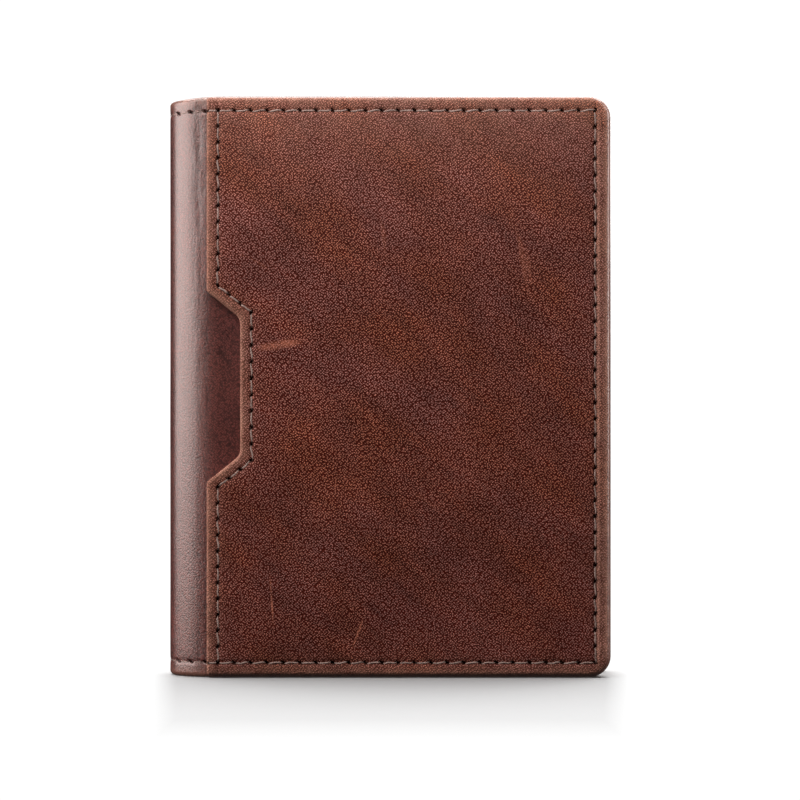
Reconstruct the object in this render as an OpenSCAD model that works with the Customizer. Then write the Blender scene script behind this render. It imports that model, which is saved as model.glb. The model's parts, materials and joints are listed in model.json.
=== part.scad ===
// Slim bifold wallet in leather, closed and standing on its lower edge.
// X runs from the spine to the open edge, Y from the front face to the back face, Z up.
// The origin is the centre of the bounding box, on the surface that the wallet stands on.
// Four fold lines divide the spine into three strips, so that the wallet opens flat.

/* [Body] */
// Width of the closed wallet, spine to open edge
closed_w = 79.5; // [76:0.5:90]
// Height of the wallet
body_h = 105; // [100:0.5:115]
// Thickness of the closed wallet over its outer faces
body_t = 14; // [13:0.1:16]
// Radius of each cover's two outer corners
corner_r = 3.8; // [2:0.1:5]

/* [Leather] */
// Thickness of the cover leather
cover_t = 1.2; // [1:0.05:1.3]
// Thickness of the outer pocket panel
panel_t = 1.25; // [1.1:0.05:1.3]
// Thickness of each inner sleeve panel
sleeve_t = 0.7; // [0.6:0.05:0.8]
// Thickness of each card slot panel
slot_t = 0.6; // [0.5:0.05:0.65]
// Width of the turned-in edge that frames the stiffening board
turned_w = 9; // [7:0.5:12]

/* [Outer pocket] */
// Distance from the spine's outer face to the mouth of the outer pocket
mouth_x = 6.5; // [6.5:0.1:8]
// How far the thumb notch cuts into the pocket panel
notch_d = 6.05; // [5:0.05:8]
// Height of the thumb notch at its mouth
notch_mouth = 34.4; // [30:0.2:40]
// Height of the thumb notch at its floor
notch_floor = 24.7; // [20:0.1:28]

/* [Card slots] */
// Height of the front slot's top edge
slot_low_z = 66; // [60:1:70]
// Step from one slot's top edge to the next
slot_step = 12; // [8:0.5:12]

/* [Stitching] */
// Distance from a cover's edge to its stitch line
stitch_margin = 2.7; // [2.4:0.1:3]
// Distance from the pocket's mouth to its stitch line
mouth_margin = 2.05; // [1.8:0.05:2.4]
// Distance from one stitch to the next
stitch_pitch = 2.9; // [2.6:0.1:3.4]
// Width of the thread
thread_w = 0.5; // [0.4:0.02:0.56]

/* [Hidden] */
$fn = 48;

board_t = 0.35;                       // stiffening board in the cover's recess
foil_t = 0.15;                        // shielding sheet on the board
lining_t = 0.3;                       // textile lining
framed_t = cover_t + board_t + foil_t;    // cover leather with its turned-in edge
spine_t = cover_t + lining_t;         // leather and lining together, where they fold
pocket_gap = 0.3;                     // free depth of the outer pocket
sleeve_gap = 0.2;                     // free depth of the inner sleeves and slots
border = 4.6;                         // width of the sewn border beside each pocket's free space
groove_w = 0.62;                      // channel that an outer stitch line lies in
groove_d = 0.5;
sunk_t = 0.45;                        // thickness of a stitch that lies in a channel
proud_t = 0.3;                        // thickness of a stitch on an inner face
stitch_share = 0.8;                   // visible length of a stitch over its pitch
fold_gap = 0.15;                      // from a fold line to the sheet on each side of it
fold_turn = 45;                       // bend at each of the four fold lines
over = 1;                             // how far a cutting shape runs past what it cuts

left_x = -closed_w / 2;
right_x = closed_w / 2;
back_y = body_t / 2;                  // outer face of the back cover
front_y = panel_t - body_t / 2;       // outer face of the front cover leather
middle_y = (back_y + front_y) / 2;    // the two covers mirror each other in this plane
mid_z = body_h / 2;

// The fold lines lie on the lining's inner face, listed as [x, y] from the back cover round.
strip_run = 3.9;                      // X and Y run of the two slanted strips' outer faces
fold_inset = spine_t * tan(fold_turn / 2);
cover_fold_x = left_x + strip_run + fold_inset;
spine_fold_y = back_y - strip_run - fold_inset;
FOLDS = [
    [cover_fold_x, back_y - spine_t],
    [left_x + spine_t, spine_fold_y],
    [left_x + spine_t, 2 * middle_y - spine_fold_y],
    [cover_fold_x, front_y + spine_t]
];

// Outlines in X and Z.
cover_x = cover_fold_x + fold_gap;    // spine side of the covers
board_x = left_x + 8.5;               // spine side of the stiffening board
inside_x = left_x + 9;                // spine side of the sleeve panels
slot_x = left_x + 13.5;               // spine side of the card slots
slot_seam_x = slot_x + 1.8;
trim = 0.8;                           // inner panels stay this far inside the cover's edge
inner_right = right_x - trim;
panel_right = right_x - 0.9;          // the cover's own edge shows beside the pocket panel
panel_low = 0.5;
panel_top = body_h - 0.3;
mouth_left = left_x + mouth_x;
stitch_top = body_h - stitch_margin;
stitch_low = stitch_margin;
stitch_right = right_x - stitch_margin;
seam_clear = 0.6;                     // a seam that meets another one stops this far short

// Faces of the back cover's layers, from the outside in. Level 0 is the sleeve panel's inner face,
// and levels 1 to 3 are those of the rear, middle and front card slot.
lining_y = back_y - framed_t - lining_t;
function level_y(level) = lining_y - sleeve_t - level * slot_t;
function slot_top(level) = slot_low_z + (3 - level) * slot_step;

leather = [0.36, 0.20, 0.16];
spine_brown = [0.44, 0.31, 0.29];
inner_brown = [0.38, 0.22, 0.16];
textile = [0.16, 0.13, 0.12];
thread = [0.24, 0.17, 0.15];
board = [0.55, 0.47, 0.38];
foil = [0.72, 0.73, 0.74];

// A sheet with the 2D outline given in X and Z, from y to y + t.
module sheet(y, t) {
    translate([0, y + t, 0]) rotate([90, 0, 0]) linear_extrude(height = t) children();
}

module area(x0, x1, z0, z1) {
    translate([x0, z0]) square([x1 - x0, z1 - z0]);
}

// Rectangle with its two corners at the open edge rounded.
module leaf(x0, x1, z0, z1, r) {
    area(x0, x1 - r, z0, z1);
    area(x0, x1, z0 + r, z1 - r);
    for (z = [z0 + r, z1 - r]) translate([x1 - r, z]) circle(r = r);
}

// The front cover's layers are the back cover's, turned to face them.
module facing() {
    translate([0, 2 * middle_y, 0]) mirror([0, 1, 0]) children();
}

// Turns the X axis from point a towards point b, both given as [x, z].
module along(a, b) {
    translate([a[0], 0, a[1]]) rotate([0, -atan2(b[1] - a[1], b[0] - a[0]), 0]) children();
}

// Stitches from a to b, each from y to y + t.
module stitches(a, b, y, t) {
    length = norm(b - a);
    count = max(1, round(length / stitch_pitch));
    pitch = length / count;
    visible = pitch * stitch_share;
    along(a, b) for (i = [0 : count - 1])
        translate([(i + 0.5) * pitch - visible / 2, y, -thread_w / 2]) cube([visible, t, thread_w]);
}

// Channel from a to b, groove_d deep in an outer face at y. Outward is 1 towards +Y, or -1.
module groove(a, b, y, outward) {
    along(a, b) translate([-groove_w / 2, y - (outward > 0 ? groove_d : over), -groove_w / 2])
        cube([norm(b - a) + groove_w, groove_d + over, groove_w]);
}

module groove_path(points, y, outward) {
    for (i = [0 : len(points) - 2]) groove(points[i], points[i + 1], y, outward);
}

module stitch_path(points, y, t) {
    for (i = [0 : len(points) - 2]) stitches(points[i], points[i + 1], y, t);
}

// The seam round a cover's three free edges, from x at the top to x at the bottom.
function seam(x) = [
    [x, stitch_top], [stitch_right, stitch_top], [stitch_right, stitch_low], [x, stitch_low]
];

// The pocket mouth's edge with its thumb notch, from z1 down to z0, moved inwards by inset.
function mouth(inset, z0, z1) = let (
    turn = atan2(notch_d, (notch_mouth - notch_floor) / 2),
    shift = inset * tan(turn / 2),
    x = mouth_left + inset,
    wide = notch_mouth / 2 + shift,
    narrow = notch_floor / 2 + shift
) [
    [x, z1], [x, mid_z + wide], [x + notch_d, mid_z + narrow],
    [x + notch_d, mid_z - narrow], [x, mid_z - wide], [x, z0]
];

// ---- layers of one cover, drawn for the back cover ----

module cover_plate() {
    difference() {
        sheet(back_y - framed_t, framed_t) leaf(cover_x, right_x, 0, body_h, corner_r);
        sheet(back_y - framed_t - over, board_t + foil_t + over)
            area(board_x, right_x - turned_w, turned_w, body_h - turned_w);
    }
}

module inlay(y, t) {
    sheet(y, t) area(board_x, right_x - turned_w, turned_w, body_h - turned_w);
}

module lining_sheet() {
    sheet(lining_y, lining_t)
        leaf(cover_x, inner_right, trim, body_h - trim, corner_r - trim);
}

// The large panel under the card slots. Its sleeve opens towards the spine.
module sleeve_panel() {
    difference() {
        sheet(level_y(0), sleeve_t)
            leaf(inside_x, inner_right, trim, body_h - trim, corner_r - trim);
        sheet(lining_y - sleeve_gap, sleeve_gap + over)
            area(inside_x - over, inner_right - border, trim + border, body_h - trim - border);
    }
}

// A card slot panel, sewn at its spine side, its foot and its open-edge side.
module slot_panel(level) {
    top = slot_top(level);
    difference() {
        sheet(level_y(level), slot_t) difference() {
            leaf(slot_x, inner_right, trim, body_h - trim, corner_r - trim);
            area(slot_x - over, right_x, top, body_h);
        }
        sheet(level_y(level) + slot_t - sleeve_gap, sleeve_gap + over)
            area(slot_seam_x + 1, stitch_right - 1, trim + border, top + over);
    }
}

// The cover's seam as it shows on the inner faces, stepping down over the slots.
module inner_seam() {
    for (z = [stitch_low, stitch_top])
        stitches([inside_x, z], [slot_x, z], level_y(0) - proud_t, proud_t);
    stitches([slot_x, stitch_top], [stitch_right, stitch_top], level_y(0) - proud_t, proud_t);
    stitches([slot_x, stitch_low], [stitch_right, stitch_low], level_y(3) - proud_t, proud_t);
    for (level = [0 : 3]) {
        z0 = level == 3 ? stitch_low + seam_clear : slot_top(level + 1);
        z1 = level == 0 ? stitch_top - seam_clear : slot_top(level);
        stitches([stitch_right, z0], [stitch_right, z1], level_y(level) - proud_t, proud_t);
    }
}

// The seam down the spine side of the three card slots.
module slot_seam() {
    for (level = [1 : 3]) {
        z0 = level == 3 ? stitch_low + seam_clear : slot_top(level + 1);
        stitches([slot_seam_x, z0], [slot_seam_x, slot_top(level)], level_y(level) - proud_t, proud_t);
    }
}

// ---- spine strips, numbered 0 to 2 from the back cover round to the front cover ----

function strip_length(i) = norm(FOLDS[i + 1] - FOLDS[i]);

// Local X runs along the strip across the spine, and local -Y points out of the wallet.
module on_strip(i) {
    run = FOLDS[i + 1] - FOLDS[i];
    translate([FOLDS[i][0], FOLDS[i][1], 0]) rotate([0, 0, atan2(run[1], run[0])]) children();
}

module strip_leather(i) {
    length = strip_length(i);
    on_strip(i) difference() {
        translate([fold_gap, -spine_t, 0]) cube([length - 2 * fold_gap, cover_t, body_h]);
        for (z = [stitch_low, stitch_top]) groove([0, z], [length, z], -spine_t, -1);
    }
}

module strip_lining(i) {
    on_strip(i) translate([fold_gap, -lining_t, trim])
        cube([strip_length(i) - 2 * fold_gap, lining_t, body_h - 2 * trim]);
}

module strip_stitching(i) {
    on_strip(i) for (z = [stitch_low, stitch_top])
        stitches([fold_gap, z], [strip_length(i) - fold_gap, z], groove_d - spine_t - sunk_t, sunk_t);
}

// ---- nodes of the back cover ----

module back_cover_leather() {
    color(leather) difference() {
        cover_plate();
        groove_path(seam(cover_x - over), back_y, 1);
    }
}

module back_stiffener() {
    color(board) inlay(back_y - cover_t - board_t, board_t);
}

module back_rfid_sheet() {
    color(foil) inlay(back_y - framed_t, foil_t);
}

module back_lining() {
    color(textile) lining_sheet();
}

module back_sleeve_panel() {
    color(inner_brown) sleeve_panel();
}

module back_card_slot_rear() {
    color(inner_brown) slot_panel(1);
}

module back_card_slot_middle() {
    color(inner_brown) slot_panel(2);
}

module back_card_slot_front() {
    color(inner_brown) slot_panel(3);
}

module back_cover_stitching() {
    color(thread) {
        stitch_path(seam(cover_x), back_y - groove_d, sunk_t);
        inner_seam();
    }
}

module back_slot_stitching() {
    color(thread) slot_seam();
}

// ---- nodes of the spine ----

module spine_leather_back() {
    color(spine_brown) strip_leather(0);
}

module spine_lining_back() {
    color(textile) strip_lining(0);
}

module spine_stitching_back() {
    color(thread) strip_stitching(0);
}

module spine_leather_middle() {
    color(spine_brown) strip_leather(1);
}

module spine_lining_middle() {
    color(textile) strip_lining(1);
}

module spine_stitching_middle() {
    color(thread) strip_stitching(1);
}

module spine_leather_front() {
    color(spine_brown) strip_leather(2);
}

module spine_lining_front() {
    color(textile) strip_lining(2);
}

module spine_stitching_front() {
    color(thread) strip_stitching(2);
}

// ---- nodes of the front cover ----

// The seam crosses the short stretch of cover leather between the spine and the pocket panel.
module front_cover_leather() {
    color(leather) difference() {
        facing() cover_plate();
        for (z = [stitch_low, stitch_top]) groove([cover_x - over, z], [mouth_left, z], front_y, -1);
    }
}

module front_stiffener() {
    color(board) facing() inlay(back_y - cover_t - board_t, board_t);
}

module front_rfid_sheet() {
    color(foil) facing() inlay(back_y - framed_t, foil_t);
}

module front_lining() {
    color(textile) facing() lining_sheet();
}

module front_sleeve_panel() {
    color(inner_brown) facing() sleeve_panel();
}

module front_card_slot_rear() {
    color(inner_brown) facing() slot_panel(1);
}

module front_card_slot_middle() {
    color(inner_brown) facing() slot_panel(2);
}

module front_card_slot_front() {
    color(inner_brown) facing() slot_panel(3);
}

// The outer pocket opens towards the spine, with a thumb notch at half height.
module front_pocket_panel() {
    panel_y = -body_t / 2;
    notch = mouth(0, panel_low, panel_top);
    color(leather) difference() {
        sheet(panel_y, panel_t) difference() {
            leaf(mouth_left, panel_right, panel_low, panel_top, corner_r - panel_low);
            polygon([notch[1] - [over, 0], notch[1], notch[2], notch[3], notch[4], notch[4] - [over, 0]]);
        }
        sheet(front_y - pocket_gap, pocket_gap + over)
            area(mouth_left - over, panel_right - border, panel_low + border, panel_top - border);
        groove_path(seam(mouth_left - over), panel_y, -1);
        groove_path(mouth(mouth_margin, stitch_low, stitch_top), panel_y, -1);
    }
}

module front_cover_stitching() {
    color(thread) {
        stitch_path(seam(mouth_left), groove_d - body_t / 2 - sunk_t, sunk_t);
        for (z = [stitch_low, stitch_top])
            stitches([cover_x, z], [mouth_left, z], front_y + groove_d - sunk_t, sunk_t);
        facing() inner_seam();
    }
}

module front_pocket_stitching() {
    color(thread) stitch_path(
        mouth(mouth_margin, stitch_low + seam_clear, stitch_top - seam_clear),
        groove_d - body_t / 2 - sunk_t, sunk_t);
}

module front_slot_stitching() {
    color(thread) facing() slot_seam();
}

back_cover_leather();
back_stiffener();
back_rfid_sheet();
back_lining();
back_sleeve_panel();
back_card_slot_rear();
back_card_slot_middle();
back_card_slot_front();
back_cover_stitching();
back_slot_stitching();
spine_leather_back();
spine_lining_back();
spine_stitching_back();
spine_leather_middle();
spine_lining_middle();
spine_stitching_middle();
spine_leather_front();
spine_lining_front();
spine_stitching_front();
front_cover_leather();
front_stiffener();
front_rfid_sheet();
front_lining();
front_sleeve_panel();
front_card_slot_rear();
front_card_slot_middle();
front_card_slot_front();
front_pocket_panel();
front_cover_stitching();
front_pocket_stitching();
front_slot_stitching();
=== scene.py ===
"""Slim leather bifold wallet, closed and standing on its lower edge.

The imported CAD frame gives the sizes, the places and the fold lines. This script stands detailed
leather, lining and thread in for the frame's plain solids. Lengths are in millimetres until a mesh
is made, and a flat piece is drawn in x and z, with its relief h measured out of its own face.
"""

import json
import math

import bpy
import numpy as np
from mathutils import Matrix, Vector, noise
from mathutils.geometry import delaunay_2d_cdt

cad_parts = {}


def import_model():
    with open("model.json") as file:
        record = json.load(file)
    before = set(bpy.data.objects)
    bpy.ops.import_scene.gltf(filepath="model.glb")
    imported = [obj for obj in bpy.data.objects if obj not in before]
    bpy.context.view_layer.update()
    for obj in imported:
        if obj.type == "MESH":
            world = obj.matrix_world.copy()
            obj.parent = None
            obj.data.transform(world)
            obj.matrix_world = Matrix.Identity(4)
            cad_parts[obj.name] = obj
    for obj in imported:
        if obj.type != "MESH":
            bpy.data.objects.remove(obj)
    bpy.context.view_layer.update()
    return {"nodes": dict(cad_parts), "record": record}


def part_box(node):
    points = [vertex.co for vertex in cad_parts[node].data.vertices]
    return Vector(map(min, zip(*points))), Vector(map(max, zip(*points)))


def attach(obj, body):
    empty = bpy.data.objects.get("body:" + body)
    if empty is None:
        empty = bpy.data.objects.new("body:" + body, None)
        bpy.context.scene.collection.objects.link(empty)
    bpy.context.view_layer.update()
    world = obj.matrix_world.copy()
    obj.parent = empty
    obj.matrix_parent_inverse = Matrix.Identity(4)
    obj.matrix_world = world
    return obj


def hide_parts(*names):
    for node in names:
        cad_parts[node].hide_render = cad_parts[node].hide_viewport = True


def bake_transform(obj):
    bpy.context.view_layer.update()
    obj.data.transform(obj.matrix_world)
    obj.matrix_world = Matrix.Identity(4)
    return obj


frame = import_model()

# -------- sizes, from the frame

MM = 0.001


def node_box(name):
    """A CAD node's lowest and highest corners at rest, in millimetres."""
    low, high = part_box(name)
    return np.array(low) / MM, np.array(high) / MM


def fold(name):
    """The place of a fold line in x and y."""
    joint = next(j for j in frame["record"]["behaviour"]["joints"] if j["name"] == name)
    return np.array(joint["pos_m"][:2]) / MM


THREAD_W = 0.5                  # width of the frame's stitches
SEAM_SHIFT = 0.2                # the open edge's seam lies this much further in than the frame's
COVER_LOW, COVER_HIGH = node_box("front_cover_leather")
PANEL_LOW, PANEL_HIGH = node_box("front_pocket_panel")
SEAM_LOW, SEAM_HIGH = node_box("front_cover_stitching")
LEFT = node_box("spine_leather_middle")[0][0]
RIGHT, HEIGHT = COVER_HIGH[0], COVER_HIGH[2]
BACK_Y, FRONT_Y = node_box("back_cover_leather")[1][1], COVER_LOW[1]
MIDDLE_Y = (BACK_Y + FRONT_Y) / 2
SEAM_TOP = SEAM_HIGH[2] - THREAD_W / 2
SEAM_FOOT = SEAM_LOW[2] + THREAD_W / 2
SEAM_RIGHT = SEAM_HIGH[0] - THREAD_W / 2 - SEAM_SHIFT
COVER_T = COVER_HIGH[1] - COVER_LOW[1]
PANEL_T = PANEL_HIGH[1] - PANEL_LOW[1]
LINING_T = 0.3                  # thickness of the lining in the spine
FAR = 1e6                       # beyond every piece

CORNER_R = 3.8                  # outer corners of the covers
SKIN_CORNER_R = 3.4             # outer corners of the pocket skin
SKIN_OVERHANG = 0.2             # how far the pocket skin runs past the frame's panel
NOTCH_DEPTH = 6.05              # the thumb notch, from the pocket's mouth to the notch's floor
NOTCH_MOUTH = 34.4              # its height at the mouth
NOTCH_FLOOR = 24.7              # its height at the floor
MOUTH_MARGIN = 2.05             # from the mouth's edge to its seam
SLOT_MARGIN = 1.8               # from a card slot's inner side to its seam
LEAF_MARGIN = 0.2               # from an inner leaf's edge to its seam's first hole
LEAF_CREASE = (0.09, 0.16)      # depth and width of the line pressed along an inner leaf's edge

PITCH = 2.9                     # from one stitch to the next
HOLE_L, HOLE_W = 1.0, 0.38      # each slanted awl hole
HOLE_SLANT = math.radians(-24)  # turn of a hole from its seam's direction
HOLE_DEPTH = 0.5
SEAM_DEPTH = 0.2                # how far the thread pulls the leather in
SEAM_SPREAD = 0.46              # how far to each side the steep part of that valley reaches
SEAM_RUN = 1.1                  # how far its soft part reaches

SPINE_LEFT = LEFT - 0.63        # the rounded spine bulges a little past the frame's flat strips
SPINE_RUN = 9.63                # width of the curved part of the spine, in the front view
SPINE_T = 1.25                  # thickness of its leather in the middle
SPINE_DROOP = 0.55              # how much lower the top edge lies in the middle of the spine
DROOP_RUN = 9.0                 # height over which the leather sinks to that
SPINE_EASE = 0.65               # share of the seams' valleys that the taut spine doesn't follow
COVER_START = SPINE_LEFT + SPINE_RUN + 0.35
BLEND_X = LEFT + 6.4            # the covers are stiff from here to the open edge

ARC_STEP = 0.3                  # distance between an outline's points round a corner
EDGE_STEP = 0.5                 # greatest distance between them along a side


# -------- outlines and seams

def unit(v):
    """The direction of a vector, with length 1."""
    return v / np.linalg.norm(v)


def inset(corners, radii, distance, still=()):
    """A closed outline's corners and radii moved inwards. The sides listed in still stay."""
    count = len(corners)
    lines = []
    for i in range(count):
        u = unit(corners[(i + 1) % count] - corners[i])
        n = np.array([-u[1], u[0]])
        lines.append((corners[i] + n * (0 if i in still else distance), u))
    moved, new_radii = [], []
    for i in range(count):
        (p, u), (q, v) = lines[i - 1], lines[i]
        cross = u[0] * v[1] - u[1] * v[0]
        t = ((q[0] - p[0]) * v[1] - (q[1] - p[1]) * v[0]) / cross
        moved.append(p + u * t)
        new_radii.append(0 if radii[i] == 0 else max(radii[i] - math.copysign(distance, cross), 0.05))
    return moved, new_radii


def rounded(corners, radii, step):
    """A closed outline with its corners rounded, as points at most step apart."""
    points = []
    for i, (corner, radius) in enumerate(zip(corners, radii)):
        u = unit(corners[i - 1] - corner)
        v = unit(corners[(i + 1) % len(corners)] - corner)
        if radius == 0:
            points.append(corner)
            continue
        half = math.acos(np.dot(u, v)) / 2
        start, end = corner + u * radius / math.tan(half), corner + v * radius / math.tan(half)
        centre = corner + unit(u + v) * radius / math.sin(half)
        a0 = math.atan2(*(start - centre)[::-1])
        a1 = math.atan2(*(end - centre)[::-1])
        sweep = (a1 - a0 + math.pi) % (2 * math.pi) - math.pi
        count = max(4, math.ceil(abs(sweep) * radius / ARC_STEP))
        for k in range(count + 1):
            a = a0 + sweep * k / count
            points.append(centre + radius * np.array([math.cos(a), math.sin(a)]))
    filled = []
    for p, q in zip(points, points[1:] + points[:1]):
        count = max(1, math.ceil(np.linalg.norm(q - p) / step))
        filled += [p + (q - p) * k / count for k in range(count)]
    return np.array(filled)


def distance_to(points, starts, ends):
    """The distance from each point to the nearest of some straight segments."""
    best = np.full(len(points), 1e9)
    for a, b in zip(starts, ends):
        d = b - a
        t = np.clip(((points - a) @ d) / max(d @ d, 1e-12), 0, 1)
        best = np.minimum(best, np.linalg.norm(points - a - t[:, None] * d, axis=1))
    return best


def is_inside(points, outline):
    """Whether each point lies inside a closed outline."""
    inside = np.zeros(len(points), bool)
    for (x0, z0), (x1, z1) in zip(outline, np.roll(outline, -1, axis=0)):
        if z0 == z1:
            continue
        spans = (points[:, 1] < z0) != (points[:, 1] < z1)
        inside ^= spans & (points[:, 0] < x0 + (points[:, 1] - z0) * (x1 - x0) / (z1 - z0))
    return inside


class Seam:
    """A line of stitches along straight stretches, with a slanted hole between each two."""

    def __init__(self, path):
        self.path = [np.array(p, float) for p in path]
        holes = []
        for a, b in zip(self.path, self.path[1:]):
            count = max(1, round(np.linalg.norm(b - a) / PITCH))
            holes += [(a + (b - a) * k / count, unit(b - a)) for k in range(count)]
        holes.append((self.path[-1], unit(self.path[-1] - self.path[-2])))
        turn = np.array([
            [math.cos(HOLE_SLANT), -math.sin(HOLE_SLANT)], [math.sin(HOLE_SLANT), math.cos(HOLE_SLANT)]])
        self.centres = np.array([c for c, _ in holes])
        self.slants = np.array([turn @ u for _, u in holes]) * (HOLE_L - HOLE_W) / 2

    def distance(self, points):
        """How far each point lies from the line of stitches."""
        return distance_to(points, self.path[:-1], self.path[1:])

    def hole_distance(self, points):
        """How far each point lies from the middle line of the nearest hole."""
        return distance_to(points, self.centres - self.slants, self.centres + self.slants)

    def stitches(self):
        """The ends of each visible stretch of thread."""
        ends = self.slants * 0.8
        return list(zip(self.centres[:-1] + ends[:-1], self.centres[1:] - ends[1:]))

    def hole_points(self):
        """Points that follow each hole's rim and slopes, for the mesh to pass through."""
        found = []
        for c, s in zip(self.centres, self.slants):
            long, wide = np.linalg.norm(s), unit(np.array([-s[1], s[0]]))
            found += [c - s * 0.6, c, c + s * 0.6]
            for ring in (HOLE_W * 0.28, HOLE_W * 0.5, HOLE_W * 0.85):
                for k in range(12):
                    a = 2 * math.pi * (k + 0.5) / 12
                    along = math.cos(a) * ring + math.copysign(long, math.cos(a))
                    found.append(c + unit(s) * along + wide * math.sin(a) * ring)
        return np.array(found)


# -------- relief

def edge_drop(d, r):
    """How far a rounded edge of radius r lies below its face, d in from the side."""
    d = np.clip(d, 0, r)
    return r - np.sqrt(np.maximum(r * r - (r - d) ** 2, 0))


def seam_relief(points, seams):
    """The relief that the seams press into the leather, and how far each point is in a hole."""
    relief, hole = np.zeros(len(points)), np.zeros(len(points))
    for seam in seams:
        t = seam.distance(points)
        steep, soft = np.exp(-(t / SEAM_SPREAD) ** 2), np.exp(-(t / SEAM_RUN) ** 2)
        valley = SEAM_DEPTH * (0.75 * steep + 0.25 * soft)
        relief = np.minimum(relief, -valley)
        near = t < 2
        inside = np.exp(-(seam.hole_distance(points[near]) / (HOLE_W * 0.5)) ** 4)
        hole[near] = np.maximum(hole[near], inside)
    return relief - HOLE_DEPTH * hole, hole


def waves(points, size, seed):
    """Slow unevenness between -1 and 1 over points in x and z."""
    return np.array([noise.noise(Vector((x / size, seed, z / size))) for x, z in points])


# -------- meshes

def add_object(name, data):
    """A new object in the scene."""
    found = bpy.data.objects.new(name, data)
    bpy.context.scene.collection.objects.link(found)
    return found


def make_object(name, verts, faces, material, attributes=None, sharp=50):
    """A smooth mesh object from points in millimetres, with float attributes on its points."""
    mesh = bpy.data.meshes.new(name)
    mesh.from_pydata(np.asarray(verts) * MM, [], faces)
    mesh.validate()
    for key, values in (attributes or {}).items():
        mesh.attributes.new(key, "FLOAT", "POINT").data.foreach_set("value", np.asarray(values, np.float32))
    mesh.polygons.foreach_set("use_smooth", [True] * len(mesh.polygons))
    mesh.set_sharp_from_angle(angle=math.radians(sharp))
    mesh.materials.append(material)
    return add_object(name, mesh)


def strip_points(path, half, step):
    """A fine grid of points along a path of straight stretches, half wide to each side."""
    found = []
    for a, b in zip(path, path[1:]):
        u = unit(b - a)
        across = np.arange(-half, half + step / 2, step)
        along = np.arange(-half, np.linalg.norm(b - a) + half, step)
        t, w = np.meshgrid(along, across)
        found.append(a + t.reshape(-1, 1) * u + w.reshape(-1, 1) * np.array([-u[1], u[0]]))
    found = np.concatenate(found)
    _, first = np.unique(np.round(found / (0.7 * step)).astype(int), axis=0, return_index=True)
    return found[np.sort(first)]


def lattice(low, high, step):
    """Points in staggered rows over a rectangle."""
    across, up = (np.arange(low[k] + step / 3, high[k], step) for k in (0, 1))
    x, z = np.meshgrid(across, up)
    x = x + np.where(np.arange(len(x)) % 2, step / 2, 0)[:, None]
    return np.column_stack([x.ravel(), z.ravel()])


def rounded_box_depth(points, low, high, r):
    """How far each point lies inside a rectangle with corners of radius r."""
    d = np.minimum(points - low, high - points)
    corner = np.linalg.norm(np.maximum(r - d, 0), axis=1)
    return np.where(corner > 0, r - corner, d.min(axis=1))


def soft_fall(points, pillow, slope, top):
    """How far a face sinks towards its edges and towards its top."""
    sunk = np.zeros(len(points))
    if pillow:
        depth, run, *box = pillow
        sunk += depth * np.exp(-rounded_box_depth(points, *box) / run)
    if slope:
        sunk += slope[0] * np.exp(-(top - points[:, 1]) / slope[1])
    return sunk


def on_side(point, corners, side):
    """Whether a point lies on the line of one of an outline's sides."""
    a, b = corners[side], corners[(side + 1) % len(corners)]
    u = unit(b - a)
    return abs((point - a) @ np.array([-u[1], u[0]])) < 1e-6


def keep_inside(points, outline, margin):
    """The points inside a closed outline and more than margin from it."""
    points = points[is_inside(points, outline)]
    return points[distance_to(points, outline, np.roll(outline, -1, axis=0)) > margin]


def clear_of(points, distances, margin):
    """The points for which every one of the distance functions gives more than margin."""
    for distance in distances:
        points = points[distance(points) > margin]
    return points


def face_points(corners, radii, still, edge_r, grid, seams, pressed):
    """A plate's outline, a sparse copy of it, and the points over its face, outline first.

    After the outline come the rings of its rounded edge, then the pressed lines, the open face
    and the seams, each of which keeps its distance from the finer ones.
    """
    outline = rounded(corners, radii, EDGE_STEP)
    sparse = rounded(corners, radii, FAR)
    layers = [outline]
    for d in [edge_r * (1 - math.cos(math.radians(a))) for a in (22, 42, 60, 76, 90)] + [edge_r + 0.2]:
        ring = rounded(*inset(corners, radii, d, still), EDGE_STEP)
        layers.append(ring[[not any(on_side(p, corners, s) for s in still) for p in ring]])
    to_seams = [seam.distance for seam in seams]
    to_holes = [seam.hole_distance for seam in seams]
    coarse = keep_inside(lattice(outline.min(axis=0), outline.max(axis=0), grid), sparse, edge_r + 0.45)
    coarse = clear_of(coarse, to_seams, 1.25)
    for line in pressed:
        coarse = coarse[distance_to(coarse, line[:1], line[1:]) > 0.7]
        fine = keep_inside(strip_points(line, 0.55, 0.14), sparse, edge_r + 0.25)
        layers.append(clear_of(fine, to_seams, 1.2))
    layers.append(coarse)
    for index, seam in enumerate(seams):
        fine = keep_inside(strip_points(seam.path, 1.15, 0.24), sparse, edge_r + 0.3)
        fine = clear_of(fine, to_seams[:index], 1.1)
        holes = keep_inside(seam.hole_points(), sparse, 0.15)
        layers.append(clear_of(fine, to_holes, HOLE_W * 1.1))
        layers.append(clear_of(holes, to_holes[:index], HOLE_W * 1.2))
    return outline, sparse, np.concatenate([layer for layer in layers if len(layer)])


def triangulate(points, count, outline):
    """The points as triangles inside the outline, and the new places of the first count points."""
    loop = [(i, (i + 1) % count) for i in range(count)]
    flat, _, triangles, origin, _, _ = delaunay_2d_cdt(
        [Vector(p) for p in points], loop, [], 1, 1e-4, True)
    flat = np.array([tuple(p) for p in flat])
    triangles = np.array([tuple(t) for t in triangles])
    triangles = triangles[is_inside(flat[triangles].mean(axis=1), outline)]
    place = {first: i for i, found in enumerate(origin) for first in found if first < count}
    return flat, triangles, [place[i] for i in range(count)]


def unevenness(flat, corners, still, seed):
    """Slow waves over a face, which die out towards the sides that carry on."""
    found = waves(flat, 14, seed) + 0.3 * waves(flat, 4.5, seed + 9)
    for s in still:
        side = np.array([corners[s], corners[(s + 1) % len(corners)]])
        found *= np.clip(distance_to(flat, side[:1], side[1:]) / 3 - 0.1, 0, 1)
    return found


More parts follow.
